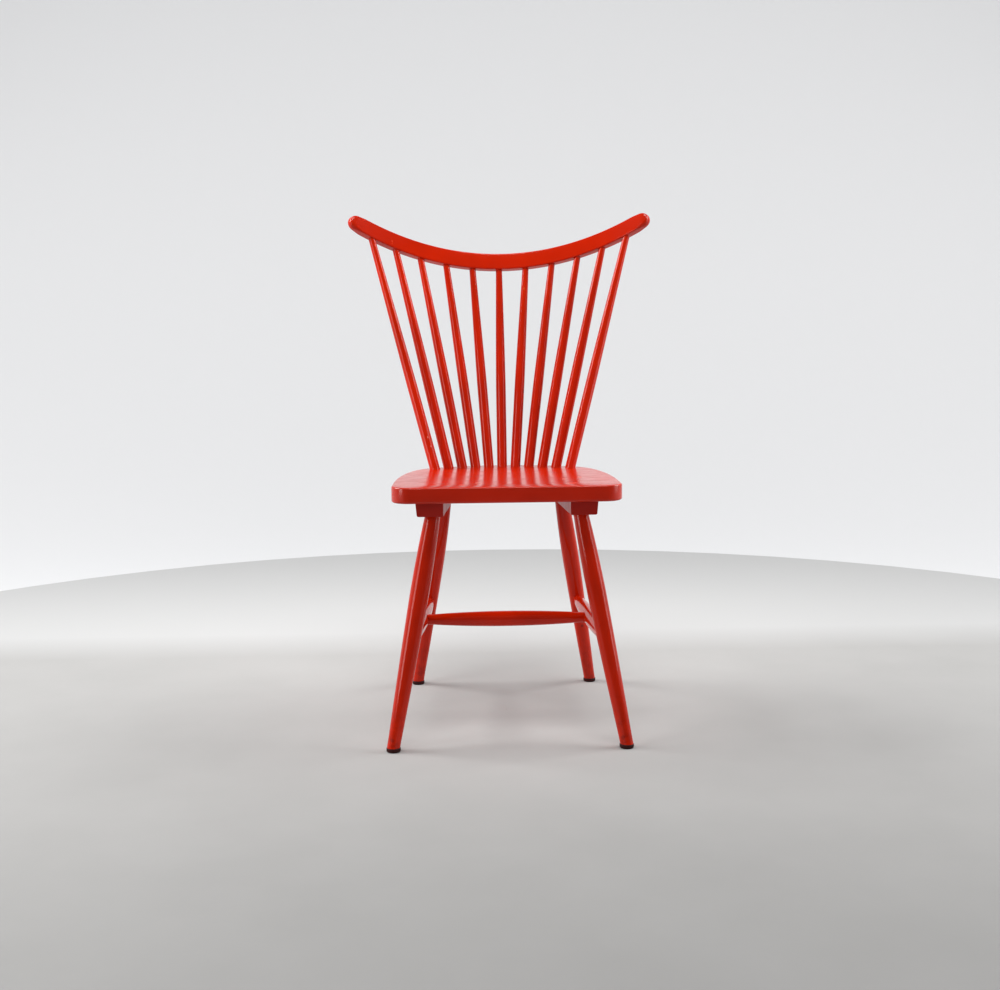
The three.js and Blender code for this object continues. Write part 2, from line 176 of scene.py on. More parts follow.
def smooth_object(name, bm, material):
    """Turns a bmesh into a smooth-shaded object in the scene."""
    mesh = bpy.data.meshes.new(name)
    bm.to_mesh(mesh)
    bm.free()
    mesh.shade_smooth()
    mesh.materials.append(material)
    piece = bpy.data.objects.new(name, mesh)
    bpy.context.scene.collection.objects.link(piece)
    return piece


def finish_piece(name, bm, material, slot, *nodes):
    """Turns a bmesh into a piece that rides on the chair and stands for CAD nodes."""
    bmesh.ops.recalc_face_normals(bm, faces=bm.faces)
    piece = smooth_object(name, bm, material)
    piece.data.set_sharp_from_angle(angle=SHARP_ANGLE)
    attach(piece, "root")
    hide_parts(*nodes)
    return piece


def bridge(bm, rings):
    """Quads between neighbouring closed rings of vertices."""
    for lower, upper in zip(rings, rings[1:]):
        count = len(lower)
        for i in range(count):
            j = (i + 1) % count
            bm.faces.new((lower[i], lower[j], upper[j], upper[i]))


def cap(bm, ring, point):
    """Closes a ring with triangles that meet at a point."""
    tip = bm.verts.new(point)
    for i, vertex in enumerate(ring):
        bm.faces.new((vertex, ring[(i + 1) % len(ring)], tip))


def sweep(start, control, end, steps=CURVE_STEPS):
    """Points of a quadratic curve, without its start."""
    points = []
    for i in range(1, steps + 1):
        t = i / steps
        points.append(tuple(
            (1 - t) ** 2 * a + 2 * t * (1 - t) * b + t ** 2 * c for a, b, c in zip(start, control, end)
        ))
    return points


def place_along(start, towards):
    """Matrix whose +Z runs from one point towards another."""
    turn = UP.rotation_difference((towards - start).normalized())
    return Matrix.Translation(start) @ turn.to_matrix().to_4x4()


def turned(outline, place):
    """Solid of revolution about the place's +Z from (radius, height) points."""
    bm = bmesh.new()
    rings = []
    for radius, height in outline:
        ring = []
        for i in range(ROUND_STEPS):
            angle = math.tau * i / ROUND_STEPS
            point = Vector((radius * math.cos(angle), radius * math.sin(angle), height))
            ring.append(bm.verts.new(place @ point))
        rings.append(ring)
    bridge(bm, rings)
    return bm, rings


def turned_solid(outline, place):
    """A turned rod, closed at both ends."""
    bm, rings = turned(outline, place)
    cap(bm, rings[0], place @ Vector((0, 0, outline[0][1])))
    cap(bm, rings[-1], place @ Vector((0, 0, outline[-1][1])))
    return bm


def at_height(low, high, z):
    """Point at a height on the line through two points."""
    return low.lerp(high, (z - low.z) / (high.z - low.z))


def held_back(a, b, short):
    """Both ends of a line, each drawn in by the same amount."""
    step = (b - a).normalized() * short
    return a + step, b - step


# Paint and other finishes

NOISE_LOW = 0.3
NOISE_HIGH = 0.7
CLOUD_SCALE = 9
SMEAR_SCALE = 38
SMUDGE_SCALE = 75
BRUSH_SCALE = 90
GRAIN_SCALE = 700
DEEPER_SHARE = 0.8
FLOW_DEPTH = 0.3 * MM
GRAIN_DEPTH = 0.1 * MM
GRAIN_STRENGTH = 0.05
PATCH_NOISE_SHARE = 0.9
PATCH_FULL_WITHIN = 0.6
GRIME_HEIGHT = 110 * MM
GRIME_FULL_BELOW = 6 * MM
GRIME_DULLING = 0.12


class Surface:
    """A material whose nodes read the chair's own coordinates."""

    def __init__(self, name):
        self.material = bpy.data.materials.new(name)
        self.material.use_nodes = True
        self.nodes = self.material.node_tree.nodes
        self.links = self.material.node_tree.links
        self.shader = self.nodes["Principled BSDF"]
        self.place = self.nodes.new("ShaderNodeTexCoord").outputs["Object"]

    def set(self, **values):
        for name, value in values.items():
            self.shader.inputs[name.replace("_", " ")].default_value = value
        return self

    def noise(self, scale, detail=3.0, roughness=0.55, stretch=(1, 1, 1), shift=(0, 0, 0)):
        mapping = self.nodes.new("ShaderNodeMapping")
        mapping.inputs["Scale"].default_value = stretch
        mapping.inputs["Location"].default_value = shift
        texture = self.nodes.new("ShaderNodeTexNoise")
        texture.inputs["Scale"].default_value = scale
        texture.inputs["Detail"].default_value = detail
        texture.inputs["Roughness"].default_value = roughness
        self.links.new(self.place, mapping.inputs["Vector"])
        self.links.new(mapping.outputs["Vector"], texture.inputs["Vector"])
        return texture.outputs["Fac"]

    def span(self, value, low, high, out_low=0.0, out_high=1.0):
        """Maps a value's range to another, clamped."""
        node = self.nodes.new("ShaderNodeMapRange")
        node.inputs["From Min"].default_value = low
        node.inputs["From Max"].default_value = high
        node.inputs["To Min"].default_value = out_low
        node.inputs["To Max"].default_value = out_high
        self.links.new(value, node.inputs["Value"])
        return node.outputs["Result"]

    def maths(self, operation, a, b):
        node = self.nodes.new("ShaderNodeMath")
        node.operation = operation
        for socket, value in zip(node.inputs, (a, b)):
            if isinstance(value, (int, float)):
                socket.default_value = value
            else:
                self.links.new(value, socket)
        return node.outputs["Value"]

    def vector_maths(self, operation, a, b, output="Vector"):
        node = self.nodes.new("ShaderNodeVectorMath")
        node.operation = operation
        self.links.new(a, node.inputs[0])
        node.inputs[1].default_value = b
        return node.outputs[output]

    def axis(self, letter):
        """The point's own X, Y or Z."""
        node = self.nodes.new("ShaderNodeSeparateXYZ")
        self.links.new(self.place, node.inputs["Vector"])
        return node.outputs[letter]

    def mix(self, factor, a, b):
        """Blends two colours, given or linked."""
        node = self.nodes.new("ShaderNodeMix")
        node.data_type = "RGBA"
        sockets = [s for s in node.inputs if s.type == "RGBA"]
        for socket, value in zip(sockets, (a, b)):
            if isinstance(value, tuple):
                socket.default_value = (*value, 1)
            else:
                self.links.new(value, socket)
        self.links.new(factor, node.inputs["Factor"])
        return [s for s in node.outputs if s.type == "RGBA"][0]

    def bump(self, height, strength, distance, under=None):
        node = self.nodes.new("ShaderNodeBump")
        node.inputs["Strength"].default_value = strength
        node.inputs["Distance"].default_value = distance
        self.links.new(height, node.inputs["Height"])
        if under is not None:
            self.links.new(under, node.inputs["Normal"])
        return node.outputs["Normal"]

    def use(self, name, value):
        self.links.new(value, self.shader.inputs[name])

    def patch(self, centre, reach, ragged=0.4):
        """1 inside a rough-edged patch round a point, 0 beyond its reach along each axis."""
        offset = self.vector_maths("SUBTRACT", self.place, centre)
        share = self.vector_maths("DIVIDE", offset, reach)
        away = self.vector_maths("LENGTH", share, (0, 0, 0), "Value")
        rough = self.span(self.noise(PATCH_NOISE_SHARE / min(reach)), NOISE_LOW, NOISE_HIGH, -ragged, ragged)
        return self.span(self.maths("ADD", away, rough), PATCH_FULL_WITHIN, 1.0, 1, 0)


RED = (0.60, 0.0165, 0.0006)
# Darker red of the battens: painted shade under the seat, the same paint as the rest
SHADED_UNDERSIDE_RED = (0.44, 0.009, 0.0005)
RUBBED_RED = (0.74, 0.05, 0.006)
WORN_ORANGE = (0.72, 0.13, 0.02)
# Pale chips on the seat; on the first spindle this colour is a painted highlight
CHIP_AND_HIGHLIGHT_PALE = (0.76, 0.34, 0.26)
GRIME = (0.19, 0.005, 0.001)
PLASTIC_WORN = (0.05, 0.0065, 0.006)
PLASTIC_DARK = (0.022, 0.0045, 0.004)
STEEL_BRIGHT = (0.36, 0.34, 0.31)
STEEL_DULL = (0.20, 0.18, 0.16)


class Paint(Surface):
    """Gloss red paint over wood, a little uneven in colour, gloss and surface, that takes worn spots, dirt and
    painted highlights.
    """

    def __init__(self, name, colour=RED, shine=0.27, ripple=0.1, gloss=(0.06, 0.15)):
        super().__init__(name)
        self.set(IOR=1.5, Specular_IOR_Level=shine)
        deeper = tuple(part * DEEPER_SHARE for part in colour)
        self.colour = self.mix(self.span(self.noise(CLOUD_SCALE, detail=2), 0.35, 0.7), colour, deeper)
        self.gloss = self.span(self.noise(SMEAR_SCALE, detail=4), 0.3, 0.75, *gloss)
        flow = self.bump(self.noise(BRUSH_SCALE, detail=2), ripple, FLOW_DEPTH)
        grain = self.noise(GRAIN_SCALE, detail=2)
        self.use("Normal", self.bump(grain, GRAIN_STRENGTH, GRAIN_DEPTH, under=flow))

    def wear_and_highlight(self, where, reach, tint, share=1.0, dulled=0.4):
        """Lays another colour over a patch, for worn paint, dirt spots and painted highlights. Its place and
        reach are in mm.
        """
        patch = self.patch(Vector(where) * MM, Vector(reach) * MM)
        self.colour = self.mix(self.maths("MULTIPLY", patch, share), self.colour, tint)
        self.gloss = self.maths("MAXIMUM", self.gloss, self.maths("MULTIPLY", patch, dulled))
        return self

    def grime(self, clean_height, share):
        """Dirt in smudges that thicken towards the floor."""
        low = self.span(self.axis("Z"), GRIME_FULL_BELOW, clean_height, 1, 0)
        smudges = self.span(self.noise(SMUDGE_SCALE, detail=5, roughness=0.65), 0.42, 0.66)
        dirt = self.maths("MULTIPLY", self.maths("MULTIPLY", low, smudges), share)
        self.colour = self.mix(dirt, self.colour, GRIME)
        self.gloss = self.maths("ADD", self.gloss, self.maths("MULTIPLY", dirt, GRIME_DULLING))
        return self

    def finished(self):
        """Links what was gathered to the shader and gives the material."""
        self.use("Base Color", self.colour)
        self.use("Roughness", self.gloss)
        return self.material


def frame_paint():
    """Paint of the crest, spindles, legs and stretchers, with the worn spots seen on each and two painted
    highlights on the first spindle.
    """
    paint = Paint("red_paint")
    # Crest rubbed, seventh spindle worn, two painted highlights on the first spindle, cross stretcher
    # scratched
    paint.wear_and_highlight((-206, 205, 874), (3, 30, 9), RUBBED_RED, 0.5)
    paint.wear_and_highlight((49, 206, 784), (3, 12, 11), WORN_ORANGE, 0.8)
    # Painted highlights on the first spindle, in the pale chip colour
    paint.wear_and_highlight((-141, 103, 501), (1.2, 9, 2.4), CHIP_AND_HIGHLIGHT_PALE, 0.8)
    paint.wear_and_highlight((-135.5, 98, 484), (1.1, 9, 2), CHIP_AND_HIGHLIGHT_PALE, 0.8)
    paint.wear_and_highlight((-2, -36, 184), (14, 6, 1.3), RUBBED_RED, 0.8)
    # Dark spots on the right legs, then on both front feet
    paint.wear_and_highlight((154, 148, 122.5), (3, 12, 3.5), GRIME, 0.7, 0.2)
    paint.wear_and_highlight((170, 155, 77), (2, 12, 2), GRIME, 0.5, 0.2)
    paint.wear_and_highlight((152, -222, 202), (2, 12, 3), GRIME, 0.5, 0.2)
    paint.wear_and_highlight((-196, -246, 21), (4, 12, 4.5), GRIME, 0.5, 0.2)
    paint.wear_and_highlight((187, -246, 19), (3.5, 12, 5), GRIME, 0.5, 0.2)
    return paint.grime(GRIME_HEIGHT, 0.6).finished()


def seat_paint():
    """Paint of the seat, scuffed near its front edge."""
    paint = Paint("seat_paint", shine=0.42, ripple=0.2, gloss=(0.14, 0.25))
    paint.wear_and_highlight((-50, -161, 440), (4, 9, 2), CHIP_AND_HIGHLIGHT_PALE, 0.35)
    paint.wear_and_highlight((-75, -190, 440), (7, 4, 2), RUBBED_RED, 0.8, 0.5)
    paint.wear_and_highlight((101, -114, 440), (4, 13, 2), CHIP_AND_HIGHLIGHT_PALE, 0.3)
    paint.wear_and_highlight((110, -182, 440), (9, 6, 2), RUBBED_RED, 0.8, 0.5)
    paint.wear_and_highlight((131, -83, 440), (5, 12, 2), CHIP_AND_HIGHLIGHT_PALE, 0.25)
    return paint.finished()


def plastic(name):
    """Scuffed dark plastic of the glides."""
    surface = Surface(name).set(Specular_IOR_Level=0.15)
    surface.use("Base Color", surface.mix(surface.noise(180), PLASTIC_WORN, PLASTIC_DARK))
    surface.use("Roughness", surface.span(surface.noise(300), NOISE_LOW, NOISE_HIGH, 0.45, 0.7))
    surface.use("Normal", surface.bump(surface.noise(900), 0.3, 0.2 * MM))
    return surface.material


def dull_steel(name):
    """Dull plated steel of the screws and nails."""
    surface = Surface(name).set(Metallic=1.0)
    surface.use("Base Color", surface.mix(surface.noise(400), STEEL_BRIGHT, STEEL_DULL))
    surface.use("Roughness", surface.span(surface.noise(600), NOISE_LOW, NOISE_HIGH, 0.35, 0.6))
    return surface.material


RED_PAINT = frame_paint()
SEAT_PAINT = seat_paint()
# A darker copy of the red for the battens, standing for painted shade under the seat
SHADED_UNDERSIDE_PAINT = Paint("underside_paint_shaded", SHADED_UNDERSIDE_RED, shine=0.35, gloss=(0.34, 0.5)).finished()
GLIDE_PLASTIC = plastic("glide_plastic")
STEEL = dull_steel("steel")


# Seat

REAR_ARC_CENTRE_Y = SEAT_REAR - SEAT_REAR_RADIUS
REAR_CORNER_X = SEAT_HALF_WIDTH - SEAT_REAR_CORNER_INSET
REAR_CORNER_ANGLE = math.acos(REAR_CORNER_X / SEAT_REAR_RADIUS)


def arc(centre_x, centre_y, radius, start, end, steps):
    """Points of an arc, without its last one."""
    points = []
    for i in range(steps):
        angle = start + (end - start) * i / steps
        points.append(Vector((centre_x + radius * math.cos(angle), centre_y + radius * math.sin(angle))))
    return points


def seat_outline():
    """Plan of the seat, counter-clockwise from the middle of its front edge."""
    corner_y = REAR_ARC_CENTRE_Y + SEAT_REAR_RADIUS * math.sin(REAR_CORNER_ANGLE)
    side_y = SEAT_FRONT + SEAT_FRONT_CORNER + SEAT_STRAIGHT_SIDE
    pull = SEAT_REAR_CORNER_INSET * SEAT_CORNER_PULL_SHARE
    handle = Vector((
        REAR_CORNER_X + pull * math.sin(REAR_CORNER_ANGLE),
        corner_y - pull * math.cos(REAR_CORNER_ANGLE),
    ))
    bulge = Vector((SEAT_HALF_WIDTH, side_y + (corner_y - side_y) * SEAT_SIDE_BULGE_SHARE))
    start, end = Vector((SEAT_HALF_WIDTH, side_y)), Vector((REAR_CORNER_X, corner_y))
    corner_x = SEAT_HALF_WIDTH - SEAT_FRONT_CORNER
    corner_end = SEAT_FRONT + SEAT_FRONT_CORNER
    half = [Vector((corner_x * i / SEAT_FRONT_STEPS, SEAT_FRONT)) for i in range(SEAT_FRONT_STEPS)]
    half += arc(corner_x, corner_end, SEAT_FRONT_CORNER, -math.pi / 2, 0, SEAT_CORNER_STEPS)
    for i in range(SEAT_STRAIGHT_STEPS):
        half.append(Vector((SEAT_HALF_WIDTH, corner_end + SEAT_STRAIGHT_SIDE * i / SEAT_STRAIGHT_STEPS)))
    for i in range(SEAT_SIDE_STEPS):
        t = i / SEAT_SIDE_STEPS
        half.append(
            start * (1 - t) ** 3 + bulge * 3 * t * (1 - t) ** 2 + handle * 3 * t ** 2 * (1 - t) + end * t ** 3
        )
    half += arc(0, REAR_ARC_CENTRE_Y, SEAT_REAR_RADIUS, REAR_CORNER_ANGLE, math.pi / 2, SEAT_REAR_STEPS)
    mirrored = [Vector((-p.x, p.y)) for p in reversed(half[1:])]
    return half + [Vector((0, SEAT_REAR))] + mirrored


def inset(outline, amount):
    """The outline moved inwards along its normals."""
    moved = []
    for i, point in enumerate(outline):
        along = (outline[(i + 1) % len(outline)] - outline[i - 1]).normalized()
        moved.append(point + Vector((-along.y, along.x)) * amount)
    return moved


def seat():
    """The seat plank, rounded at its edges and eased down at its front."""
    bm = bmesh.new()
    outline = seat_outline()
    turns = [math.pi / 2 * i / SEAT_EDGE_STEPS for i in range(SEAT_EDGE_STEPS + 1)]
    lower, upper = SEAT_LOWER_ROUND, SEAT_TOP_ROUND
    levels = [(lower * (1 - math.sin(t)), SEAT_UNDERSIDE + lower * (1 - math.cos(t))) for t in turns]
    levels += [(upper * (1 - math.cos(t)), SEAT_TOP - upper * (1 - math.sin(t))) for t in turns]
    rings = [[bm.verts.new((p.x, p.y, z)) for p in inset(outline, amount)] for amount, z in levels]
    underside, top_field = inset(outline, lower), inset(outline, upper)
    centre = Vector((0, SEAT_MIDDLE))
    for i in range(1, SEAT_FIELD_RINGS):
        share = 1 - i / SEAT_FIELD_RINGS
        rings.append([bm.verts.new((*(centre + (p - centre) * share), SEAT_TOP)) for p in top_field])
        rings.insert(0, [bm.verts.new((*(centre + (p - centre) * share), SEAT_UNDERSIDE)) for p in underside])
    for ring in rings:
        for vertex in ring:
            share = (vertex.co.z - SEAT_UNDERSIDE) / (SEAT_TOP - SEAT_UNDERSIDE)
            nearness = max(0, 1 - (vertex.co.y - SEAT_FRONT) / SEAT_EASE_REACH)
            vertex.co.z -= SEAT_FRONT_EASE * share ** 4 * nearness ** 2
    bridge(bm, rings)
    cap(bm, rings[0], (*centre, SEAT_UNDERSIDE))
    cap(bm, rings[-1], (*centre, SEAT_TOP))
    return finish_piece("seat_plank", bm, SEAT_PAINT, "red_paint", "seat")


# Battens

def batten_line(side):
    """Front and rear ends of a batten's lower middle line."""
    front_x = side * (SEAT_HALF_WIDTH - BATTEN_FRONT_EDGE_INSET)
    rear_x = side * (SEAT_HALF_WIDTH - BATTEN_REAR_EDGE_INSET)
    front = Vector((front_x, SEAT_FRONT + BATTEN_FRONT_SETBACK, BATTEN_BOTTOM))
    rear = Vector((rear_x, SEAT_REAR - BATTEN_REAR_SETBACK, BATTEN_BOTTOM))
    return front, rear


def batten(label, side):
    """A batten with its outer lower corner rounded and its other arrises eased."""
    front, rear = batten_line(side)
    half = BATTEN_WIDTH / 2
    foot = half - BATTEN_SIDE_TAPER
    thickness = BATTEN_TOP - BATTEN_BOTTOM
    nib = BATTEN_CORNER_ROUND / 2
    section = [(-half, thickness), (-half, nib)]
    section += sweep((-half, nib), (-half, 0), (-half + nib, 0), BATTEN_NIB_STEPS)
    section.append((foot - BATTEN_CORNER_ROUND, 0))
    section += sweep((foot - BATTEN_CORNER_ROUND, 0), (foot, 0), (foot, BATTEN_CORNER_ROUND), CORNER_STEPS)
    section.append((half, thickness))
    across = Vector((rear.y - front.y, front.x - rear.x, 0)).normalized() * side
    bm = bmesh.new()
    length = (rear - front).length
    along = (rear - front) / length
    stations = [0, *(length * i / BATTEN_STATIONS for i in range(1, BATTEN_STATIONS)), length]
    rings = [[bm.verts.new(front + along * s + across * x + UP * z) for x, z in section] for s in stations]
    bridge(bm, rings)
    bm.faces.new(rings[0])
    bm.faces.new(rings[-1])
    edges = [e for e in bm.edges if len(e.link_faces) == 2 and e.calc_face_angle(0) > BATTEN_ARRIS_ANGLE]
    bmesh.ops.bevel(
        bm, geom=edges, offset=BATTEN_ARRIS, segments=BATTEN_ARRIS_SEGMENTS, profile=0.5, affect="EDGES",
        clamp_overlap=True,
    )
    # Its darker red is painted shade under the seat
    return finish_piece(f"batten_{label}_wood", bm, SHADED_UNDERSIDE_PAINT, "red_paint", f"batten_{label}")


# Legs, glides and stretchers

def leg_axis(side, end):
    """A leg's axis at the floor, at the batten's underside and at its tip inside the batten."""
    front, rear = batten_line(side)
    along = (rear - front).normalized() * LEG_FROM_BATTEN_END
    top = front + along if end == "front" else rear - along
    top.x -= side * LEG_INBOARD
    foot = Vector((side * FOOT_HALF_SPREAD[end], FOOT_Y[end], 0))
    return foot, top, at_height(foot, top, BATTEN_BOTTOM + BATTEN_SOCKET_DEPTH)


def leg_outline(neck_start, end):
    """(radius, height) of a leg, fullest below its neck."""
    foot, swell, neck = LEG_FOOT_RADIUS, LEG_SWELL_RADIUS, LEG_TOP_RADIUS
    fullest = neck_start - LEG_SWELL_FROM_TOP
    lower = (foot + (swell - foot) * LEG_LOWER_FULLNESS, (LEG_FOOT_STRAIGHT + fullest) * LEG_LOWER_REACH)
    outline = [(foot, 0), (foot, LEG_FOOT_STRAIGHT)]
    outline += sweep((foot, LEG_FOOT_STRAIGHT), lower, (swell, fullest))
    upper = (swell, fullest + LEG_SWELL_FROM_TOP * LEG_UPPER_REACH)
    outline += sweep((swell, fullest), upper, (neck, neck_start))
    return outline + [(neck, end)]


def leg(label, side, end):
    """A turned leg, cut level where it meets its glide."""
    foot, top, tip = leg_axis(side, end)
    outline = leg_outline((top - foot).length - LEG_NECK, (tip - foot).length)
    bm = turned_solid(outline, place_along(foot, tip))
    everything = [*bm.verts, *bm.edges, *bm.faces]
    cut = bmesh.ops.bisect_plane(
        bm, geom=everything, plane_co=(0, 0, LEG_END), plane_no=(0, 0, 1), clear_inner=True
    )
    rim = [item for item in cut["geom_cut"] if isinstance(item, bmesh.types.BMEdge)]
    bmesh.ops.edgeloop_fill(bm, edges=rim)
    return finish_piece(f"leg_{end}_{label}_wood", bm, RED_PAINT, "red_paint", f"leg_{end}_{label}")


def glide(label, side, end):
    """A round glide with a sunk nail hole."""
    foot, top, _ = leg_axis(side, end)
    spot = at_height(foot, top, LEG_END)
    outline = [(NAIL_BORE, GLIDE_HEIGHT), (NAIL_BORE, NAIL_RECESS_DEPTH)]
    outline += [(NAIL_RECESS_RADIUS, NAIL_RECESS_DEPTH), (NAIL_RECESS_RADIUS, 0)]
    flat_end = (GLIDE_RADIUS - GLIDE_ROUND, 0)
    outline.append(flat_end)
    outline += sweep(flat_end, (GLIDE_RADIUS, 0), (GLIDE_RADIUS, GLIDE_ROUND), CORNER_STEPS)
    outline.append((GLIDE_RADIUS, GLIDE_HEIGHT - GLIDE_CHAMFER))
    outline += [(GLIDE_RADIUS - GLIDE_CHAMFER, GLIDE_HEIGHT), outline[0]]
    bm, rings = turned(outline, Matrix.Translation((spot.x, spot.y, 0)))
    bmesh.ops.remove_doubles(bm, verts=rings[0] + rings[-1], dist=MERGE_DISTANCE)
    node = f"glide_{end}_{label}"
    return finish_piece(f"{node}_cap", bm, GLIDE_PLASTIC, "glide_plastic", node)


def stretcher(name, start, end, node):
    """A turned stretcher, fullest in its middle."""
    length = (end - start).length
    rod, swell = STRETCHER_END_RADIUS, STRETCHER_SWELL_RADIUS
    outline = [(rod, 0), (rod, STRETCHER_NECK)]
    belly = length * STRETCHER_BELLY_SHARE
    outline += sweep((rod, STRETCHER_NECK), (swell, belly), (swell, length / 2))
    outline += sweep((swell, length / 2), (swell, length - belly), (rod, length - STRETCHER_NECK))
    outline += [(rod, length)]
    return finish_piece(name, turned_solid(outline, place_along(start, end)), RED_PAINT, "red_paint", node)


def on_leg(side, end):
    """Point on a leg's axis at the height of the stretchers."""
    foot, top, _ = leg_axis(side, end)
    return at_height(foot, top, STRETCHER_HEIGHT)


def underframe():
    """Battens, legs, glides and the H of stretchers."""
    for label, side in SIDES.items():
        batten(label, side)
        for end in ENDS:
            leg(label, side, end)
            glide(label, side, end)
        start, end = held_back(on_leg(side, "front"), on_leg(side, "rear"), SIDE_STRETCHER_STOP_SHORT)
        stretcher(f"side_stretcher_{label}_wood", start, end, f"side_stretcher_{label}")
    middles = [on_leg(side, "front").lerp(on_leg(side, "rear"), 0.5) for side in SIDES.values()]
    start, end = held_back(*middles, CROSS_STRETCHER_STOP_SHORT)
    stretcher("cross_stretcher_wood", start, end, "cross_stretcher")


# Back

def rail_point(x):
    """Point on the rail's centre line, bowed in plan and swept up at the ends."""
    bow = RAIL_PLAN_RADIUS - math.sqrt(RAIL_PLAN_RADIUS ** 2 - x ** 2)
    rise = RAIL_SWEEP_RADIUS - math.sqrt(RAIL_SWEEP_RADIUS ** 2 - x ** 2)
    return Vector((x, RAIL_CENTRE_Y - bow, RAIL_CENTRE_HEIGHT + rise))


RAIL_POINTS = [rail_point(RAIL_HALF_SPAN * (2 * i / RAIL_SAMPLES - 1)) for i in range(RAIL_SAMPLES + 1)]
RAIL_TRAVEL = [0, *accumulate((b - a).length for a, b in zip(RAIL_POINTS, RAIL_POINTS[1:]))]
RAIL_LENGTH = RAIL_TRAVEL[-1]


def along_rail(distance):
    """Point on the rail's centre line at a distance from its left end."""
    step = min(bisect(RAIL_TRAVEL, distance), RAIL_SAMPLES) - 1
    share = (distance - RAIL_TRAVEL[step]) / (RAIL_TRAVEL[step + 1] - RAIL_TRAVEL[step])
    return RAIL_POINTS[step].lerp(RAIL_POINTS[step + 1], share)


def spindle_line(index):
    """Ends of a spindle, in its seat socket and just past the rail's centre line."""
    arc_radius = SEAT_REAR_RADIUS - SPINDLE_SETBACK
    x = index * SPINDLE_BASE_PITCH
    foot = Vector((x, REAR_ARC_CENTRE_Y + math.sqrt(arc_radius ** 2 - x ** 2), SEAT_TOP))
    head = along_rail(RAIL_LENGTH / 2 + index * SPINDLE_TOP_PITCH)
    start = at_height(foot, head, SEAT_TOP - SEAT_SOCKET_DEPTH)
    return start, head + (head - foot).normalized() * SPINDLE_PAST_RAIL_CENTRE


def spindle(index):
    """A turned spindle, straight at its foot and slimmer towards the rail."""
    start, end = spindle_line(index)
    length = (end - start).length
    shaped = SEAT_SOCKET_DEPTH + SPINDLE_STRAIGHT
    full, top = SPINDLE_RADIUS, SPINDLE_TOP_RADIUS
    outline = [(full, 0), (full, shaped)]
    shoulder, neck = (full, shaped + SPINDLE_SHOULDER), (top, length - SPINDLE_TOP_NECK)
    outline += sweep((full, shaped), shoulder, neck, SPINDLE_CURVE_STEPS)
    outline += [(top, length)]
    number = index + SPINDLES_PER_SIDE + 1
    bm = turned_solid(outline, place_along(start, end))
    return finish_piece(f"spindle_{number:02d}_wood", bm, RED_PAINT, "red_paint", f"spindle_{number:02d}")


def rounded_section(r):
    """The rail's section, across its thickness and up its height, with corners of a given round."""
    w, h = RAIL_THICKNESS / 2, RAIL_HEIGHT / 2
    points = []
    for sx, sy in ((1, -1), (1, 1), (-1, 1), (-1, -1)):
        before = (sx * (w - r), sy * h) if sx * sy < 0 else (sx * w, sy * (h - r))
        after = (sx * w, sy * (h - r)) if sx * sy < 0 else (sx * (w - r), sy * h)
        points.append(before)
        points += sweep(before, (sx * w, sy * h), after, CORNER_STEPS)
    return points


def rail_stations():
    """(distance along the rail, share of its height) from end to end, rounded over at both ends."""
    end_round = RAIL_END_HEIGHT / 2
    left = []
    for i in range(RAIL_TIP_STEPS):
        angle = math.pi / 2 * (i + RAIL_TIP_FIRST_STEP) / RAIL_TIP_STEPS
        left.append((end_round * (1 - math.cos(angle)), math.sin(angle)))
    span = RAIL_LENGTH - 2 * end_round
    middle = [(end_round + span * i / RAIL_SPAN_STEPS, 1.0) for i in range(RAIL_SPAN_STEPS + 1)]
    return left + middle + [(RAIL_LENGTH - s, size) for s, size in reversed(left)]


def crest_rail():
    """The crest rail, leaning with the spindles, with rounder corners near its tips."""
    start, end = spindle_line(0)
    lean = (end - start).normalized()
    sharper, rounder = rounded_section(RAIL_CORNER_ROUND), rounded_section(RAIL_TIP_CORNER_ROUND)
    bm = bmesh.new()
    rings = []
    for distance, taller in rail_stations():
        from_tip = min(distance, RAIL_LENGTH - distance)
        blend = min(1, max(0, 1 - (from_tip - RAIL_TIP_FULLY_ROUND) / RAIL_TIP_BLEND))
        blend *= blend * (3 - 2 * blend)
        section = [Vector(a).lerp(Vector(b), blend) for a, b in zip(sharper, rounder)]
        centre = along_rail(distance)
        x = centre.x
        along = Vector((
            1,
            -x / math.sqrt(RAIL_PLAN_RADIUS ** 2 - x ** 2),
            x / math.sqrt(RAIL_SWEEP_RADIUS ** 2 - x ** 2),
        )).normalized()
        rearwards = lean.cross(along).normalized()
        slimming = 1 - (1 - RAIL_END_HEIGHT / RAIL_HEIGHT) * (x / RAIL_HALF_SPAN) ** 2
        upwards = along.cross(rearwards) * slimming * taller
        rearwards *= math.sqrt(taller)
        rings.append([bm.verts.new(centre + rearwards * across + upwards * up) for across, up in section])
    bridge(bm, rings)
    cap(bm, rings[0], RAIL_POINTS[0])
    cap(bm, rings[-1], RAIL_POINTS[-1])
    return finish_piece("crest_rail_wood", bm, RED_PAINT, "red_paint", "crest_rail")


def back():
    """Eleven spindles and the crest rail."""
    for index in range(-SPINDLES_PER_SIDE, SPINDLES_PER_SIDE + 1):
        spindle(index)
    crest_rail()


# Studio

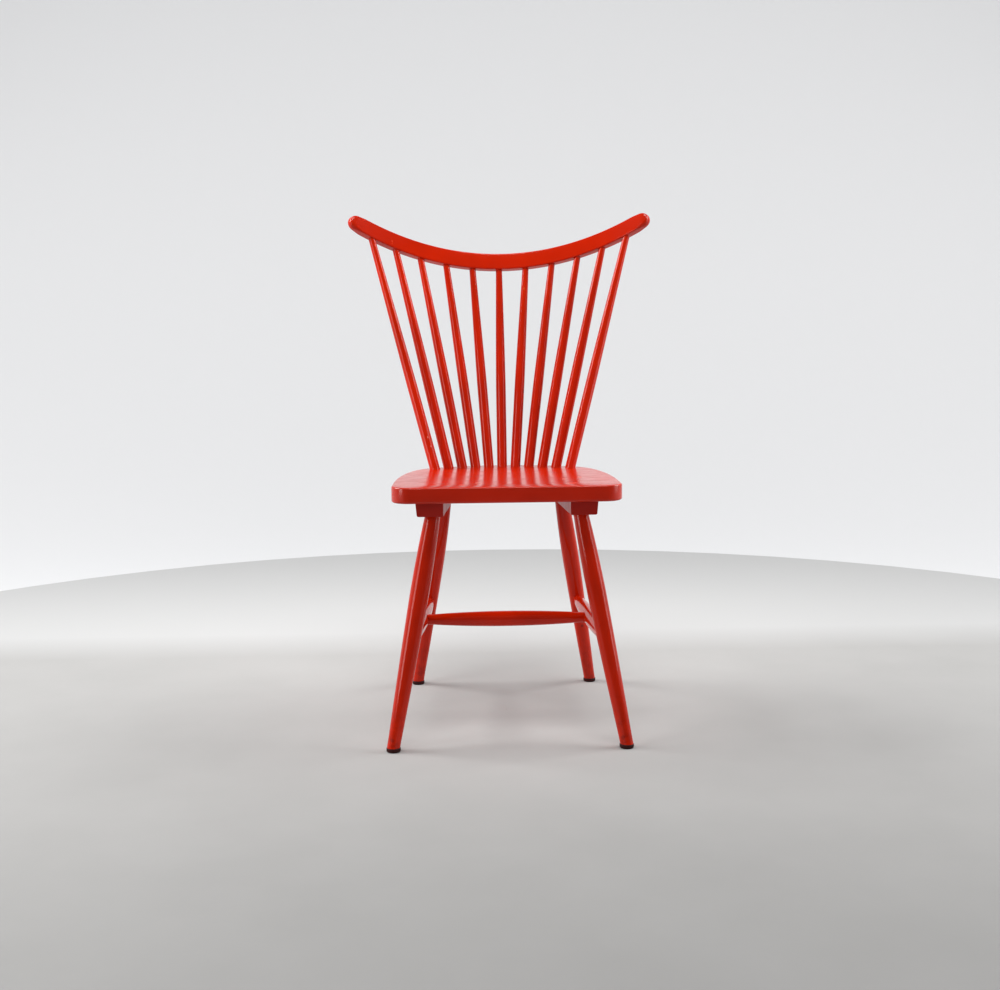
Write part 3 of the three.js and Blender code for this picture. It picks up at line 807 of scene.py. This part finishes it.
FLOOR_RADIUS = 1.9
COVE_RADIUS = 0.9
WALL_HEIGHT = 2.8
CONCRETE_SCALE = 5
CONCRETE_DARK = (0.43, 0.425, 0.415)
CONCRETE_PALE = (0.49, 0.485, 0.475)
FAR_FLOOR = (0.59, 0.59, 0.585)
FAR_FLOOR_STARTS = 0.44
FAR_FLOOR_FULL = 0.66
WALL_DIM = (0.14, 0.14, 0.14)
WALL_PALE = (0.45, 0.45, 0.455)
WALL_DIM_UP_TO = -1.9
WALL_PALE_FROM = 0.1
WALL_GLOW_COLOUR = (0.98, 0.99, 1.0, 1)
WALL_GLOW_IN_FRONT = 0.03
WALL_GLOW_BEHIND = 0.41
AIR_COLOUR = (0.97, 0.98, 1.0, 1)
AIR_STRENGTH = 0.26
CHAIR_MIDDLE = (0, 0, 0.5)
CREST_MIDDLE = (0, 0.2, 0.75)
HIGH_LAMP = (1.2, 1.1)
LOW_LAMP = (0.7, 1.1)
STRIP_LAMP = (1.6, 0.5)
STRIP_SPREAD = math.radians(50)


def matt(name):
    return Surface(name).set(Roughness=0.9, Specular_IOR_Level=0.2)


def studio():
    """A concrete floor that runs up into a round cove: bright behind and beside the chair, dim in front."""
    floor = matt("floor_grey")
    concrete = floor.mix(floor.noise(CONCRETE_SCALE, detail=6), CONCRETE_DARK, CONCRETE_PALE)
    farness = floor.span(floor.axis("Y"), FAR_FLOOR_STARTS, FAR_FLOOR_FULL)
    floor.use("Base Color", floor.mix(farness, concrete, FAR_FLOOR))
    stage_piece("floor", [(1 * MM, 0), (FLOOR_RADIUS, 0)], floor.material)
    wall = matt("wall_white").set(Emission_Color=WALL_GLOW_COLOUR)
    rearness = wall.span(wall.axis("Y"), WALL_DIM_UP_TO, WALL_PALE_FROM)
    wall.use("Emission Strength", wall.span(rearness, 0, 1, WALL_GLOW_IN_FRONT, WALL_GLOW_BEHIND))
    wall.use("Base Color", wall.mix(rearness, WALL_DIM, WALL_PALE))
    outer = FLOOR_RADIUS + COVE_RADIUS
    cove = [(FLOOR_RADIUS, 0)]
    cove += sweep((FLOOR_RADIUS, 0), (outer, 0), (outer, COVE_RADIUS), COVE_STEPS)
    cove += [(outer, WALL_HEIGHT)]
    # So wide and dim that it need not be sampled as a lamp, which saves a third of the render's time
    wall.material.cycles.emission_sampling = "NONE"
    stage_piece("cove", cove, wall.material)


def stage_piece(name, outline, material):
    """A round part of the studio about the chair's middle."""
    bm, _ = turned(outline, Matrix.Identity(4))
    piece = smooth_object(name, bm, material)


def soft_light(name, spot, target, size, radiance):
    """A rectangular lamp of a given brightness, seen in reflections but not by the camera."""
    data = bpy.data.lights.new(name, "AREA")
    data.shape = "RECTANGLE"
    data.size, data.size_y = size
    data.energy = radiance * math.pi * size[0] * size[1]
    light = bpy.data.objects.new(name, data)
    light.location = spot
    light.rotation_euler = (Vector(spot) - Vector(target)).to_track_quat("Z", "Y").to_euler()
    light.visible_camera = False
    bpy.context.scene.collection.objects.link(light)
    return data


def lights():
    """Soft air, two lamps on each side and a narrow strip for the back."""
    world = bpy.data.worlds.new("studio_air")
    world.use_nodes = True
    background = world.node_tree.nodes["Background"]
    background.inputs["Color"].default_value = AIR_COLOUR
    background.inputs["Strength"].default_value = AIR_STRENGTH
    bpy.context.scene.world = world
    soft_light("left_high", (-2.0, 0.3, 1.9), CHAIR_MIDDLE, HIGH_LAMP, 10.5)
    soft_light("right_high", (2.0, 0.3, 1.9), CHAIR_MIDDLE, HIGH_LAMP, 7.2)
    soft_light("left_low", (-1.75, -1.15, 0.85), CHAIR_MIDDLE, LOW_LAMP, 4.8)
    soft_light("right_low", (1.95, -0.45, 0.85), CHAIR_MIDDLE, LOW_LAMP, 3.2)
    back_strip = soft_light("back_strip", (0, -0.9, 2.7), CREST_MIDDLE, STRIP_LAMP, 1.5)
    back_strip.spread = STRIP_SPREAD


# Camera, from a pinhole fit to the photograph's feet and seat edges

IMAGE_WIDTH = 1000
FOCAL_PIXELS = 1250
SENSOR_WIDTH = 36.0
CAMERA_FROM_SEAT_MIDDLE = Vector((-0.0537, -2.2400, 0))
CAMERA_HEIGHT = 0.6579
CAMERA_YAW = 0.02029
CAMERA_PITCH = 0.11311
CAMERA_ROLL = -0.01145
CAMERA_CLIP_END = 20


def camera():
    """The photograph's viewpoint, turned by its yaw, pitch and roll."""
    data = bpy.data.cameras.new("photo_view")
    data.sensor_fit = "HORIZONTAL"
    data.sensor_width = SENSOR_WIDTH
    data.lens = FOCAL_PIXELS / IMAGE_WIDTH * SENSOR_WIDTH
    data.clip_end = CAMERA_CLIP_END
    eye = bpy.data.objects.new("photo_view", data)
    forward = Vector((
        math.sin(CAMERA_YAW) * math.cos(CAMERA_PITCH),
        math.cos(CAMERA_YAW) * math.cos(CAMERA_PITCH),
        -math.sin(CAMERA_PITCH),
    ))
    right = Vector((math.cos(CAMERA_YAW), -math.sin(CAMERA_YAW), 0))
    above = right.cross(forward)
    rolled_right = right * math.cos(CAMERA_ROLL) + above * math.sin(CAMERA_ROLL)
    rolled_up = above * math.cos(CAMERA_ROLL) - right * math.sin(CAMERA_ROLL)
    turn = Matrix((rolled_right, rolled_up, -forward)).transposed()
    spot = CAMERA_FROM_SEAT_MIDDLE + Vector((0, SEAT_MIDDLE, CAMERA_HEIGHT))
    eye.matrix_world = Matrix.Translation(spot) @ turn.to_4x4()
    bpy.context.scene.collection.objects.link(eye)
    bpy.context.scene.camera = eye


camera()
seat()
underframe()
back()
for name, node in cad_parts.items():
    if name.startswith(("glide_nail", "batten_screw")):
        node.data.materials.clear()
        node.data.materials.append(STEEL)
studio()
lights()
bpy.context.scene.view_settings.view_transform = "Standard"
